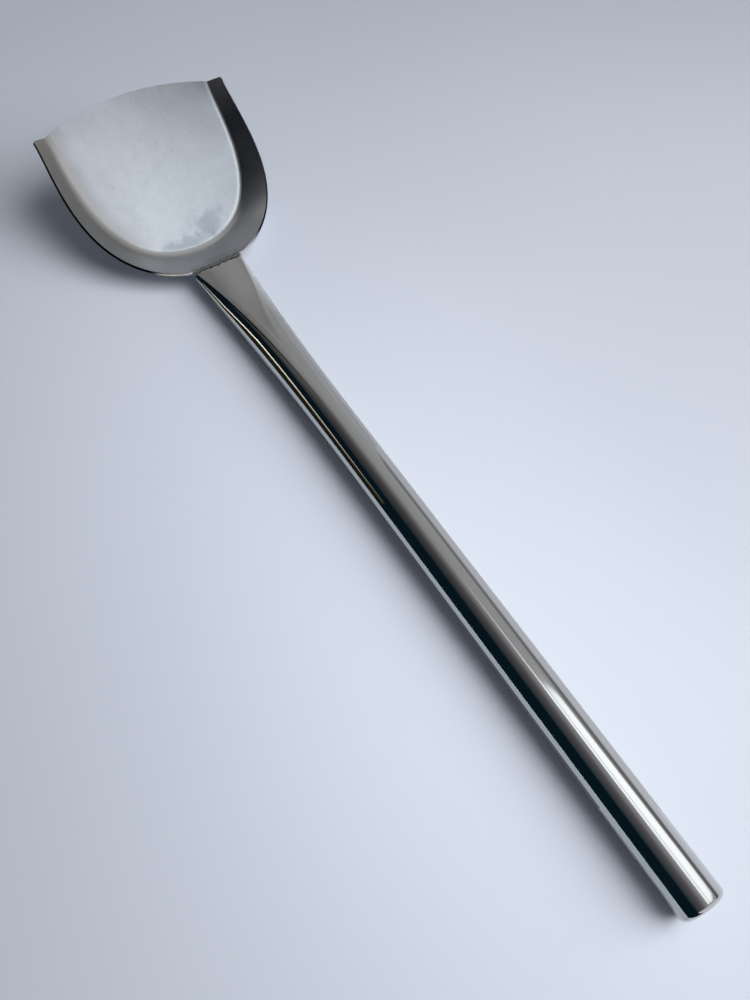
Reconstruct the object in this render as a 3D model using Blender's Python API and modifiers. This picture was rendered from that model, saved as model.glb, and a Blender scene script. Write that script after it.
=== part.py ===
# Wok spatula: a pressed steel blade welded to the flattened front of a round steel tube.
# +X runs from the blade to the handle's round end, +Y is to the side and +Z is up.
# It is modelled as it lies on a table: the tube and the blade's heel touch z = 0.

import math

import bpy
from mathutils import Vector

mm = 0.001

# Handle
tube_diameter = 19.0 * mm
tube_wall = 1.0 * mm
handle_length = 357.5 * mm
press_length = 150.0 * mm
mouth_edge_drop = 1.6 * mm
side_dip = 2.4 * mm

# How far the press spreads the round tube: the mouth's width as a share of the tube's
# diameter, and the width of its flat top as a share of the mouth's.
mouth_width_share = 28.0 / 19.0
mouth_flat_share = 24.0 / 28.0

# End cap
cap_thickness = 4.0 * mm
cap_edge_radius = 2.0 * mm
cap_spigot_length = 7.0 * mm
cap_spigot_clearance = 0.3 * mm
cap_spigot_chamfer = 0.8 * mm

# Blade
sheet = 1.2 * mm
floor_side_length = 77.6 * mm
floor_width = 90.4 * mm
front_bulge = 7.5 * mm
bend_radius = 5.0 * mm
heel_reach = 23.3 * mm
wall_out_back = 15.9 * mm
wall_out_front = 7.2 * mm
tip_radius = 1.6 * mm
bow_reach = 12.0 * mm
floor_tilt = math.radians(34.6)
wall_angle_back = math.radians(58.5)
wall_angle_front = math.radians(29.0)

# Welds
joint_gap = 0.3 * mm
bead_width = 3.6 * mm
bead_height = 0.7 * mm
bead_end_inset = 0.5 * mm
bead_ripple = 0.12 * mm
bead_ripple_pitch = 1.8 * mm
bead_end_swell = 0.35 * mm
fillet_leg = 5.4 * mm
fillet_sag = 0.35 * mm
fillet_end_share = 0.5
bead_end_sharpness = 12

# The floor's outline, half of it, from the heel's middle to the front corner:
# (share of floor_side_length, share of half the floor's width)
outline_shares = ((0.0, 0.0), (0.0, 0.52), (0.16, 1.175), (0.80, 0.942), (1.0, 1.0))
wall_out_fade = 1.78
wall_angle_fade = 1.5

# How quickly the press's shape fades from the mouth to the round tube
top_fade = 2.8
width_fade = 2.2
flat_fade = 3.1
side_fade = 3

# side_dip is reached where near ** 2 * (1 - near) is greatest, at 4 / 27
dip_scale = 27 / 4

# Counts
outline_samples = 240
arc_samples = 24
halvings = 32
wall_stations = 34
tip_stations = 5
bend_steps = 5
wall_steps = 3
front_steps = 14
press_stations = 26
flat_steps = 8
shoulder_steps = 7
belly_steps = 22
bead_stations = 61
bead_arc_steps = 6
cap_arc_steps = 6
cap_turns = 48

merge_distance = 0.01 * mm
sharp_angle = math.radians(35)
flat_turn = math.radians(20)
right_angle = math.radians(90)
full_turn = math.radians(360)

tube_radius = tube_diameter / 2
tube_end = handle_length - cap_thickness
axis_height = tube_radius
mouth_width = tube_diameter * mouth_width_share
mouth_flat_width = mouth_width * mouth_flat_share
bead_length = mouth_width - 2 * bead_end_inset
fillet_width = mouth_flat_width


def clear_scene():
    for item in list(bpy.data.objects):
        bpy.data.objects.remove(item, do_unlink=True)


def make_material(name, color, roughness, metallic=1.0):
    material = bpy.data.materials.new(name)
    material.use_nodes = True
    shader = material.node_tree.nodes["Principled BSDF"]
    shader.inputs["Base Color"].default_value = (*color, 1.0)
    shader.inputs["Roughness"].default_value = roughness
    shader.inputs["Metallic"].default_value = metallic
    return material


def make_object(name, mesh, material, parent, collection):
    item = bpy.data.objects.new(name, mesh)
    item.data.materials.append(material)
    item.parent = parent
    collection.objects.link(item)
    return item


def mesh_from(name, verts, faces):
    mesh = bpy.data.meshes.new(name)
    mesh.from_pydata([tuple(v) for v in verts], [], faces)
    mesh.validate()
    mesh.shade_smooth()
    mesh.set_sharp_from_angle(angle=sharp_angle)
    return mesh


def skin(rings, loop=False, caps=False):
    """Join rings of equal length into a surface; loop joins the last ring to the first."""
    count = len(rings[0])
    verts = [point for ring in rings for point in ring]
    pairs = len(rings) if loop else len(rings) - 1
    faces = []
    for i in range(pairs):
        near = i * count
        far = ((i + 1) % len(rings)) * count
        for j in range(count):
            k = (j + 1) % count
            faces.append((near + j, far + j, far + k, near + k))
    if caps:
        faces.append(tuple(range(count)))
        last = (len(rings) - 1) * count
        faces.append(tuple(reversed(range(last, last + count))))
    return verts, faces


def mix(start, end, share):
    return start + (end - start) * share


# The blade is drawn in its floor's plane: forward from the heel, sideways, and up from the floor.

def outline_point(share):
    """A point of the bend line, a smooth curve drawn towards the outline's shares."""
    order = len(outline_shares) - 1
    forward = side = 0.0
    for i, (length_share, width_share) in enumerate(outline_shares):
        weight = math.comb(order, i) * share ** i * (1 - share) ** (order - i)
        forward += weight * length_share * floor_side_length
        side += weight * width_share * floor_width / 2
    return Vector((forward, side, 0.0))


def even_outline():
    """The bend line's points with the distance of each from the heel's middle."""
    points = [outline_point(i / outline_samples) for i in range(outline_samples + 1)]
    distances = [0.0]
    for start, end in zip(points, points[1:]):
        distances.append(distances[-1] + (end - start).length)
    return points, distances


def point_at(points, distances, distance):
    """The bend line's point and outward direction at a distance from the heel's middle."""
    i = 0
    while i < len(distances) - 2 and distances[i + 1] < distance:
        i += 1
    share = (distance - distances[i]) / (distances[i + 1] - distances[i])
    run = (points[i + 1] - points[i]).normalized()
    if distance == 0:
        run = Vector((0, 1, 0))
    return points[i].lerp(points[i + 1], share), Vector((-run.y, run.x, 0))


def heel_height():
    """Height of the sharp heel line, so that the bend's underside just touches the table."""
    centre = bend_radius / math.cos(wall_angle_back / 2)
    lean = floor_tilt - wall_angle_back / 2
    return bend_radius + sheet - centre * math.cos(lean)


def from_floor(point):
    """Turn a point from the floor's plane into the part's own axes."""
    forward, side, up = point
    x = -heel_reach - forward * math.cos(floor_tilt) + up * math.sin(floor_tilt)
    z = heel_height() + forward * math.sin(floor_tilt) + up * math.cos(floor_tilt)
    return Vector((x, side, z))


def wall_angle(share):
    """The wall leans out more and more from the back to the front corners."""
    return mix(wall_angle_back, wall_angle_front, share ** wall_angle_fade)


def blade_edge():
    """Where the back wall's upper edge stops, so that its lower edge clears the mouth."""
    return -joint_gap - sheet * math.sin(wall_angle_back - floor_tilt)


def seam_middle():
    return blade_edge() / 2


def front_bow(side):
    """How far the floor's front edge stands before a straight one; over the walls it is straight."""
    return front_bulge * max(0.0, 1 - (side / (floor_width / 2)) ** 2)


def wall_section(points, distances, distance):
    """One section across the bend and the wall, from the floor's edge to the rim."""
    length = distances[-1]
    share = distance / length
    corner, outward = point_at(points, distances, distance)
    up = Vector((0, 0, 1))
    angle = wall_angle(share)
    out = mix(wall_out_front, wall_out_back, (1 - share) ** wall_out_fade)
    climb = outward * math.cos(angle) + up * math.sin(angle)
    reach = out / math.cos(angle)
    from_tip = length - distance
    if from_tip < tip_radius:
        reach -= tip_radius - math.sqrt(tip_radius ** 2 - (tip_radius - from_tip) ** 2)
    weld_x = blade_edge()
    start = from_floor(corner)
    per_length = from_floor(corner + climb).x - start.x
    if start.x + per_length * reach > weld_x:
        reach = (weld_x - start.x) / per_length
    tangent = bend_radius * math.tan(angle / 2)
    centre = corner - outward * tangent + up * bend_radius
    section = []
    for i in range(bend_steps + 1):
        turn = angle * i / bend_steps
        section.append(centre + bend_radius * (outward * math.sin(turn) - up * math.cos(turn)))
    for i in range(1, wall_steps + 1):
        section.append(corner + climb * mix(tangent, reach, i / wall_steps))
    bow_share = max(0.0, 1 - from_tip / bow_reach)
    return [point + Vector((front_bow(point.y) * bow_share, 0, 0)) for point in section]


def wall_distances(length):
    """Where the sections stand: evenly to the tip's rounding, then closer and closer."""
    straight = length - tip_radius
    even = [straight * i / wall_stations for i in range(wall_stations)]
    turns = [right_angle * i / tip_stations for i in range(tip_stations + 1)]
    return even + [straight + tip_radius * math.sin(turn) for turn in turns]


def blade_mesh():
    points, distances = even_outline()
    sections = [wall_section(points, distances, d) for d in wall_distances(distances[-1])]
    verts = []
    faces = []
    count = len(sections[0])
    for section in sections:
        verts.extend(section)
    for i in range(len(sections) - 1):
        for j in range(count - 1):
            a = i * count + j
            b = (i + 1) * count + j
            faces.append((a, a + 1, b + 1, b))
    floor_ring = [i * count for i in range(len(sections))]
    corner = sections[-1][0]
    for i in range(1, front_steps + 1):
        side = corner.y * (1 - i / front_steps)
        floor_ring.append(len(verts))
        verts.append(Vector((floor_side_length + front_bow(side), side, 0)))
    faces.append(tuple(floor_ring))
    return mesh_from("blade", [from_floor(v) for v in verts], faces)


def make_blade(material, parent, collection):
    blade = make_object("blade", blade_mesh(), material, parent, collection)
    mirror = blade.modifiers.new("both_halves", "MIRROR")
    mirror.use_axis = (False, True, False)
    mirror.merge_threshold = merge_distance
    thick = blade.modifiers.new("sheet", "SOLIDIFY")
    thick.thickness = sheet
    thick.offset = -1.0
    thick.use_even_offset = True
    return blade


# The handle's section keeps the round tube's girth while its front is pressed flat,
# but its belly sinks no lower than the round tube's underside.

def half_girth(half_width, depth):
    """Length of a half ellipse, by the usual close formula."""
    spread = 3 * (half_width + depth)
    root = math.sqrt((3 * half_width + depth) * (half_width + 3 * depth))
    return math.pi * (spread - root) / 2


def top_point(half_width, flat_half, shoulder, turn):
    """A point of the section's upper half: nearly flat in the middle, then a rounded shoulder."""
    flat_share = math.sin(right_angle * max(-1.0, min(1.0, turn / flat_turn)))
    side = flat_half * flat_share + (half_width - flat_half) * math.sin(turn)
    return Vector((side, shoulder * math.cos(turn)))


def top_length(half_width, flat_half, shoulder):
    """Length of the section's upper half from side to side."""
    turns = [mix(-right_angle, right_angle, i / arc_samples) for i in range(arc_samples + 1)]
    points = [top_point(half_width, flat_half, shoulder, turn) for turn in turns]
    return sum((end - start).length for start, end in zip(points, points[1:]))


def belly_depth(half_width, flat_half, shoulder):
    """Depth of the lower half that leaves the girth of the section as the tube's."""
    left = math.pi * tube_diameter - top_length(half_width, flat_half, shoulder)
    low = 0.0
    high = tube_diameter
    for _ in range(halvings):
        depth = (low + high) / 2
        if half_girth(half_width, depth) < left:
            low = depth
        else:
            high = depth
    return (low + high) / 2


def tube_section(x, inset):
    """The section at x behind the mouth; inset 0 is its outside and the wall its bore."""
    near = max(0.0, 1 - x / press_length)
    dip_share = dip_scale * near ** 2 * (1 - near)
    half_width = mix(tube_radius, mouth_width / 2, near ** width_fade)
    flat_half = mouth_flat_width / 2 * near ** flat_fade
    side = mix(axis_height, mouth_top() - mouth_edge_drop, near ** side_fade) - side_dip * dip_share
    shoulder = handle_top(x) - side
    belly = min(side, belly_depth(half_width, flat_half, shoulder))
    return section_points(half_width - inset, flat_half, shoulder - inset, belly - inset, side, x)


def section_points(half_width, flat_half, shoulder, belly, side, x):
    turns = [mix(-flat_turn, flat_turn, i / flat_steps) for i in range(flat_steps + 1)]
    turns += [mix(flat_turn, right_angle, i / shoulder_steps) for i in range(1, shoulder_steps + 1)]
    before = [mix(-right_angle, -flat_turn, i / shoulder_steps) for i in range(shoulder_steps)]
    tops = [top_point(half_width, flat_half, shoulder, turn) for turn in turns + before]
    ring = [Vector((x, point.x, side + point.y)) for point in tops]
    lower = []
    for i in range(1, belly_steps):
        turn = math.pi * i / belly_steps
        lower.append(Vector((x, half_width * math.cos(turn), side - belly * math.sin(turn))))
    return ring[:len(turns)] + lower + ring[len(turns):]


def make_handle(material, parent, collection):
    places = [press_length * (i / press_stations) for i in range(press_stations + 1)]
    places.append(tube_end)
    outside = [tube_section(x, 0.0) for x in places]
    bore = [tube_section(x, tube_wall) for x in reversed(places)]
    verts, faces = skin(outside + bore, loop=True)
    return make_object("handle_tube", mesh_from("handle_tube", verts, faces), material, parent, collection)


def make_cap(material, parent, collection):
    """A plug turned about the tube's axis: a round-edged head and a spigot in the bore."""
    spigot_radius = tube_radius - tube_wall - cap_spigot_clearance
    head_bottom = joint_gap
    profile = [(0.0, cap_thickness), (tube_radius - cap_edge_radius, cap_thickness)]
    for i in range(1, cap_arc_steps + 1):
        turn = right_angle * i / cap_arc_steps
        r = tube_radius - cap_edge_radius + cap_edge_radius * math.sin(turn)
        profile.append((r, cap_thickness - cap_edge_radius + cap_edge_radius * math.cos(turn)))
    profile.append((tube_radius, head_bottom))
    profile.append((spigot_radius, head_bottom))
    profile.append((spigot_radius, -cap_spigot_length + cap_spigot_chamfer))
    profile.append((spigot_radius - cap_spigot_chamfer, -cap_spigot_length))
    profile.append((0.0, -cap_spigot_length))
    mesh = bpy.data.meshes.new("end_cap")
    edges = [(i, i + 1) for i in range(len(profile) - 1)]
    mesh.from_pydata([(r, 0.0, z) for r, z in profile], edges, [])
    cap = make_object("end_cap", mesh, material, parent, collection)
    cap.location = (tube_end, 0.0, axis_height)
    cap.rotation_euler = (0.0, right_angle, 0.0)
    turned = cap.modifiers.new("turned", "SCREW")
    turned.axis = "Z"
    turned.angle = full_turn
    turned.steps = cap_turns
    turned.render_steps = cap_turns
    turned.use_merge_vertices = True
    turned.merge_threshold = merge_distance
    turned.use_smooth_shade = True
    return cap


def wall_top(x, y):
    """Height of the back wall's upper face over a point near the weld."""
    points, distances = even_outline()
    low = 0.0
    high = distances[-1] / 2
    for _ in range(halvings):
        distance = (low + high) / 2
        corner, outward = point_at(points, distances, distance)
        angle = wall_angle(distance / distances[-1])
        start = from_floor(corner)
        climb = from_floor(corner + outward * math.cos(angle) + Vector((0, 0, math.sin(angle)))) - start
        place = start + climb * ((x - start.x) / climb.x)
        if place.y < abs(y):
            low = distance
        else:
            high = distance
    return place.z


def mouth_top():
    """Height of the handle's flat top at its mouth, where it meets the back wall."""
    return (wall_top(0.0, 0.0) + wall_top(0.0, mouth_flat_width / 2)) / 2


def handle_top(x):
    """Height of the handle's top at x behind the mouth."""
    return mix(tube_diameter, mouth_top(), max(0.0, 1 - x / press_length) ** top_fade)


def make_top_weld(material, parent, collection):
    """A rippled bead over the seam, thicker where it starts and stops."""
    rings = []
    for i in range(bead_stations):
        y = bead_length * (i / (bead_stations - 1) - 0.5)
        wave = bead_ripple * math.cos(2 * math.pi * y / bead_ripple_pitch)
        end_share = abs(y) / (bead_length / 2)
        crown = bead_height + wave + bead_end_swell * end_share ** bead_end_sharpness
        half = bead_width / 2 + wave
        front_x = seam_middle() - half
        back_x = seam_middle() + half
        front = Vector((front_x, y, wall_top(front_x, y) + joint_gap))
        back = Vector((back_x, y, handle_top(back_x) + joint_gap))
        ring = [Vector((0.0, y, max(wall_top(0.0, y), handle_top(0.0)) + joint_gap)), back]
        for k in range(1, bead_arc_steps):
            share = k / bead_arc_steps
            rise = Vector((0.0, 0.0, crown * math.sin(math.pi * share)))
            ring.append(back.lerp(front, share) + rise)
        ring.append(front)
        rings.append(ring)
    verts, faces = skin(rings, caps=True)
    return make_object("top_weld", mesh_from("top_weld", verts, faces), material, parent, collection)


def make_under_weld(material, parent, collection):
    """A fillet in the corner between the tube's mouth and the back wall's underside."""
    down = sheet / math.cos(wall_angle_back - floor_tilt) + joint_gap
    mouth = tube_section(0.0, 0.0)
    bottom = min(point.z for point in mouth)
    side_middle = mouth_top() - mouth_edge_drop
    rings = []
    for i in range(bead_stations):
        share = i / (bead_stations - 1) * 2 - 1
        y = fillet_width / 2 * share
        wave = bead_ripple * math.cos(2 * math.pi * y / bead_ripple_pitch)
        lip = side_middle - (side_middle - bottom) * math.sqrt(1 - (y / (mouth_width / 2)) ** 2)
        corner = Vector((-joint_gap, y, wall_top(-joint_gap, y) - down))
        lower = Vector((-joint_gap, y, lip))
        toe_x = -joint_gap - fillet_leg * math.sqrt(1 - fillet_end_share * share ** 2) - wave
        toe = Vector((toe_x, y, wall_top(toe_x, y) - down))
        ring = [corner, toe]
        across = (lower - toe).normalized()
        inward = Vector((-across.z, 0.0, across.x))
        for k in range(1, bead_arc_steps):
            along = k / bead_arc_steps
            sag = (fillet_sag + wave) * math.sin(math.pi * along)
            ring.append(toe.lerp(lower, along) + inward * sag)
        ring.append(lower)
        rings.append(ring)
    verts, faces = skin(rings, caps=True)
    return make_object("under_weld", mesh_from("under_weld", verts, faces), material, parent, collection)


def centre_on_origin(parent, items):
    """Slide the whole along X so that its box is centred over the origin."""
    bpy.context.view_layer.update()
    graph = bpy.context.evaluated_depsgraph_get()
    places = []
    for item in items:
        shape = item.evaluated_get(graph)
        places.extend((shape.matrix_world @ Vector(corner)).x for corner in shape.bound_box)
    parent.location.x = -(min(places) + max(places)) / 2


def main():
    clear_scene()
    collection = bpy.data.collections.new("wok_spatula")
    bpy.context.scene.collection.children.link(collection)
    satin = make_material("satin_steel", (0.60, 0.61, 0.60), 0.32)
    polished = make_material("polished_steel", (0.62, 0.62, 0.61), 0.14)
    weld = make_material("weld_steel", (0.42, 0.40, 0.38), 0.45)
    root = bpy.data.objects.new("spatula", None)
    collection.objects.link(root)
    items = [
        make_blade(satin, root, collection),
        make_handle(polished, root, collection),
        make_cap(polished, root, collection),
        make_top_weld(weld, root, collection),
        make_under_weld(weld, root, collection),
    ]
    centre_on_origin(root, items)
    print("weld plane x", round(root.location.x, 6))


main()
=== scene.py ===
import math
import random
from bisect import bisect_left

import bpy
import bmesh
from mathutils import Matrix, Vector


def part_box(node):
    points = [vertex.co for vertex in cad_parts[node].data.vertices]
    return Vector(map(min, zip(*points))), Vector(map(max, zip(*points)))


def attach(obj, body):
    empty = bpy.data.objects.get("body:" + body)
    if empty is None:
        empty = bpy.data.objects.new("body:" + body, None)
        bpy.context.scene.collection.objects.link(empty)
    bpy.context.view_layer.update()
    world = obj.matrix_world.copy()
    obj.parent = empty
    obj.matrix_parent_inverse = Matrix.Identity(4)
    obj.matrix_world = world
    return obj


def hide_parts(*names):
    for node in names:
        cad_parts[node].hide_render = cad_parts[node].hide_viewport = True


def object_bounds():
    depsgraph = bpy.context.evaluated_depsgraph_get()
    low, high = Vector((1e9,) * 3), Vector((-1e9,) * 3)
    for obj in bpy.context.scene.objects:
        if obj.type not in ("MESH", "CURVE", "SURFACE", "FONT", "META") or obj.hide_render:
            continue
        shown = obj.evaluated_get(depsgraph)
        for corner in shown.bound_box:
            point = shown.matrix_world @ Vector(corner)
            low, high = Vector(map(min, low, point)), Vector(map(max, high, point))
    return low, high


# Wok spatula on a pale table: a satin pressed blade on a polished tube handle.
# Lengths in the dictionaries are in millimetres and angles in degrees.

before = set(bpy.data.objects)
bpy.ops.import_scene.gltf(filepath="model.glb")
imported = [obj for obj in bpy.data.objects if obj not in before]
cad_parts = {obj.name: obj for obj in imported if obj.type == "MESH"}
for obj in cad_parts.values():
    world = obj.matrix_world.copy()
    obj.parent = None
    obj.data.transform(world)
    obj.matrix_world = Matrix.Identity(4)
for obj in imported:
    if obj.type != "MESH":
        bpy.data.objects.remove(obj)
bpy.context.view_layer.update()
mm = 0.001
searchSteps = 34   # halvings when a height or a depth is searched for
random.seed(7)
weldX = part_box("handle_tube")[0].x / mm   # the tube's mouth, where the blade is welded on
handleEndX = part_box("end_cap")[1].x / mm
print("frame loaded, weld at x", round(weldX, 2))


# Small helpers

def mix(start, end, share):
    return start + (end - start) * share


def paint(red, green, blue):   # screen colour 0-255 to the linear values that Blender wants
    def linear(value):
        value /= 255
        return value / 12.92 if value <= 0.04045 else ((value + 0.055) / 1.055) ** 2.4
    return (linear(red), linear(green), linear(blue), 1.0)


def smooth(share):
    share = min(1.0, max(0.0, share))
    return share * share * (3 - 2 * share)


def shade(mesh, smoothAngle=40):
    mesh.shade_smooth()
    mesh.set_sharp_from_angle(angle=math.radians(smoothAngle))


def addObject(name, verts, faces, smoothAngle=40):
    mesh = bpy.data.meshes.new(name)
    mesh.from_pydata([Vector(v) * mm for v in verts], [], faces)
    mesh.validate()
    shade(mesh, smoothAngle)
    item = bpy.data.objects.new(name, mesh)
    bpy.context.scene.collection.objects.link(item)
    return item


def addValues(item, name, values):   # a number at each vertex, for a material to read
    layer = item.data.attributes.new(name, "FLOAT", "POINT")
    layer.data.foreach_set("value", values)


def cleanMesh(item, mergeGap=None, outward=True):   # joins vertices that meet, turns faces outward
    shape = bmesh.new()
    shape.from_mesh(item.data)
    if mergeGap is not None:
        bmesh.ops.remove_doubles(shape, verts=shape.verts, dist=mergeGap * mm)
    if outward:
        bmesh.ops.recalc_face_normals(shape, faces=shape.faces)
    shape.to_mesh(item.data)
    shape.free()


def skinRings(rings, closed=True, loop=False):   # faces between rings of equal length
    count = len(rings[0])
    verts = [point for ring in rings for point in ring]
    faces = []
    for i in range(len(rings) if loop else len(rings) - 1):
        near = i * count
        far = ((i + 1) % len(rings)) * count
        for j in range(count if closed else count - 1):
            k = (j + 1) % count
            faces.append((near + j, far + j, far + k, near + k))
    return verts, faces


# Materials

class NodeBuilder:   # a new material, and short words for the nodes that the finishes share
    def __init__(self, name, metallic=0.0):
        self.material = bpy.data.materials.new(name)
        self.material.use_nodes = True
        self.tree = self.material.node_tree
        self.shader = self.tree.nodes["Principled BSDF"]
        self.shader.inputs["Metallic"].default_value = metallic
        self.coords = self.add("ShaderNodeTexCoord").outputs["Object"]
        self.split = self.add("ShaderNodeSeparateXYZ")
        self.link(self.coords, self.split.inputs[0])

    def add(self, kind, **values):
        node = self.tree.nodes.new(kind)
        for key, value in values.items():
            setattr(node, key, value)
        return node

    def link(self, source, socket):
        self.tree.links.new(source, socket)

    def put(self, value, socket):   # a value, or a link where it is another node's socket
        if isinstance(value, bpy.types.NodeSocket):
            self.link(value, socket)
        else:
            socket.default_value = value

    def scaled(self, scale, turn):
        mapping = self.add("ShaderNodeMapping")
        mapping.inputs["Scale"].default_value = scale
        mapping.inputs["Rotation"].default_value = (0, 0, math.radians(turn))
        self.link(self.coords, mapping.inputs["Vector"])
        return mapping.outputs["Vector"]

    def noise(self, scale, detail, roughness=0.5, distortion=0.0, turn=0):
        node = self.add("ShaderNodeTexNoise")
        node.inputs["Scale"].default_value = 1.0
        node.inputs["Detail"].default_value = detail
        node.inputs["Roughness"].default_value = roughness
        node.inputs["Distortion"].default_value = distortion
        self.link(self.scaled(scale, turn), node.inputs["Vector"])
        return node.outputs["Fac"]

    def ramp(self, source, low, high, start, end):
        node = self.add("ShaderNodeMapRange")
        node.inputs["From Min"].default_value = low
        node.inputs["From Max"].default_value = high
        node.inputs["To Min"].default_value = start
        node.inputs["To Max"].default_value = end
        self.link(source, node.inputs["Value"])
        return node.outputs["Result"]

    def soft(self, source, low, high, start, end):
        result = self.ramp(source, low, high, start, end)
        result.node.interpolation_type = "SMOOTHSTEP"
        return result

    def blend(self, share, first, second, mode="MIX"):   # inputs 6 and 7 and output 2 carry the colours
        node = self.add("ShaderNodeMix", data_type="RGBA", blend_type=mode)
        self.put(share, node.inputs[0])
        self.put(first, node.inputs[6])
        self.put(second, node.inputs[7])
        return node.outputs[2]

    def work(self, operation, first, second=0.0):
        node = self.add("ShaderNodeMath", operation=operation)
        self.put(first, node.inputs[0])
        self.put(second, node.inputs[1])
        return node.outputs[0]

    def plus(self, first, second):
        return self.work("ADD", first, second)

    def times(self, *factors):
        product = factors[0]
        for factor in factors[1:]:
            product = self.work("MULTIPLY", product, factor)
        return product

    def bump(self, height, distance):
        node = self.add("ShaderNodeBump")
        node.inputs["Strength"].default_value = 1.0
        node.inputs["Distance"].default_value = distance * mm
        self.link(height, node.inputs["Height"])
        return node.outputs["Normal"]

    def attribute(self, name):
        return self.add("ShaderNodeAttribute", attribute_name=name).outputs["Fac"]

    def away(self, centre, size):   # distance from a place in mm, as a share of a size in mm
        offset = self.add("ShaderNodeVectorMath", operation="SUBTRACT")
        self.link(self.coords, offset.inputs[0])
        offset.inputs[1].default_value = [value * mm for value in centre]
        scaled = self.add("ShaderNodeVectorMath", operation="DIVIDE")
        self.link(offset.outputs[0], scaled.inputs[0])
        scaled.inputs[1].default_value = [value * mm for value in size]
        length = self.add("ShaderNodeVectorMath", operation="LENGTH")
        self.link(scaled.outputs[0], length.inputs[0])
        return length.outputs["Value"]

    def axis(self, index):   # the place along x, y or z in mm
        return self.times(self.split.outputs[index], 1 / mm)


# A fade in the materials' dictionaries is (from, to, value at the first, value at the second). It runs
# over mm along the part's x ("Along") or y ("Side"), over a noise, or over "across", which is 0 in the
# middle of the blade, 1 at its bend and 2 at its rim.

satinSteel = dict(
    clean=(0.575, 0.603, 0.648, 1.0), shadedRight=(0.36, 0.38, 0.41, 1.0), cloudy=(0.66, 0.70, 0.76, 1.0),
    smudge=(0.27, 0.305, 0.35, 1.0), leftBendShade=(0.44, 0.43, 0.425, 1.0), wall=(0.62, 0.615, 0.60, 1.0),
    bendHighlight=(0.82, 0.86, 0.90, 1.0), rearHighlight=(0.95, 0.955, 0.96, 1.0), tint=(0.34, 0.33, 0.33, 1.0),
    rimShade=(0.02, 0.02, 0.025, 1.0), roughness=(0.35, 0.65, 0.25, 0.32),
    clouds=dict(scale=(26, 26, 26), detail=5, roughness=0.55, distortion=0.5),
    mottle=dict(scale=(190, 190, 190), detail=3, roughness=0.6),
    rubbed=dict(scale=(60, 420, 420), detail=3, roughness=0.6, turn=32),
    ragged=dict(scale=(110, 110, 110), detail=4, roughness=0.55, distortion=0.4),
    shadedRightRamp=(-16, 34, 0, 1), cloudFade=(0.42, 0.66, 0, 0.4),
    mottleFade=(0.45, 0.75, 0, 0.14), rubbedFade=(0.50, 0.72, 0, 0.10),
    stains=(((-158, -4, 5), (5, 17, 8)), ((-163, 11, 8), (8, 11, 7))),   # each one's centre and size
    stainRagged=(0.3, 0.7, -0.5, 0.5), stainFade=(0.5, 1.35, 0.66, 0),
    leftShadeSide=(-30, -20, 1, 0), leftShadeAcross=(0.80, 1.12, 0, 1), wallLightAcross=(1.05, 1.35, 0, 1),
    highlightRise=(0.97, 1.0, 0, 0.4), highlightFall=(1.0, 1.1, 1, 0), highlightSide=(18, 27, 0, 1),
    rearAlong=(-172, -150, 0, 1), rearSide=(-42, -30, 0, 1), rearAcross=(0.95, 1.15, 0, 1),
    weldStain=((-136, 2, 11), (7, 15, 6)), tintRagged=(0.3, 0.7, -0.4, 0.4), tintFade=(0.5, 1.2, 0.3, 0),
    rimShadeLeftSide=(-33, -27, 1, 0), rimShadeRightSide=(20, 30, 0, 1), rimShadeAcross=(1.92, 1.99, 0, 1))


def makeSatin():
    look = satinSteel
    nb = NodeBuilder("satinSteel", metallic=1.0)
    across = nb.attribute("across")
    along = nb.axis(0)
    side = nb.axis(1)
    clouds = nb.noise(**look["clouds"])
    mottle = nb.noise(**look["mottle"])
    rubbed = nb.noise(**look["rubbed"])
    ragged = nb.noise(**look["ragged"])
    # painted shade: the blade's colour darker towards its right side (+y)
    base = nb.blend(nb.ramp(side, *look["shadedRightRamp"]), look["clean"], look["shadedRight"])
    base = nb.blend(nb.ramp(clouds, *look["cloudFade"]), base, look["cloudy"])
    base = nb.blend(nb.ramp(mottle, *look["mottleFade"]), base, look["smudge"])
    base = nb.blend(nb.ramp(rubbed, *look["rubbedFade"]), base, look["smudge"])
    for centre, size in look["stains"]:
        reach = nb.plus(nb.away(centre, size), nb.ramp(ragged, *look["stainRagged"]))
        base = nb.blend(nb.soft(reach, *look["stainFade"]), base, look["smudge"])
    # painted shade: a darker band along the left bend
    leftShade = nb.times(nb.soft(across, *look["leftShadeAcross"]), nb.ramp(side, *look["leftShadeSide"]))
    base = nb.blend(leftShade, base, look["leftBendShade"])
    # painted light: the walls lighter and warmer than the floor
    base = nb.blend(nb.ramp(across, *look["wallLightAcross"]), base, look["wall"])
    # painted highlight: a bright line along the right bend
    line = nb.times(nb.ramp(across, *look["highlightRise"]), nb.ramp(across, *look["highlightFall"]),
                    nb.ramp(side, *look["highlightSide"]))
    base = nb.blend(line, base, look["bendHighlight"])
    # painted highlight: the rear walls nearly white
    atRear = nb.times(nb.ramp(along, *look["rearAlong"]), nb.ramp(side, *look["rearSide"]),
                      nb.ramp(across, *look["rearAcross"]))
    base = nb.blend(atRear, base, look["rearHighlight"])
    reach = nb.plus(nb.away(*look["weldStain"]), nb.ramp(ragged, *look["tintRagged"]))
    base = nb.blend(nb.ramp(reach, *look["tintFade"]), base, look["tint"])
    # painted shade: the rim band on both sides nearly black
    atSides = nb.plus(nb.ramp(side, *look["rimShadeLeftSide"]), nb.ramp(side, *look["rimShadeRightSide"]))
    rimShade = nb.times(nb.ramp(across, *look["rimShadeAcross"]), atSides)
    nb.link(nb.blend(rimShade, base, look["rimShade"]), nb.shader.inputs["Base Color"])
    nb.link(nb.ramp(clouds, *look["roughness"]), nb.shader.inputs["Roughness"])
    return nb.material
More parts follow.
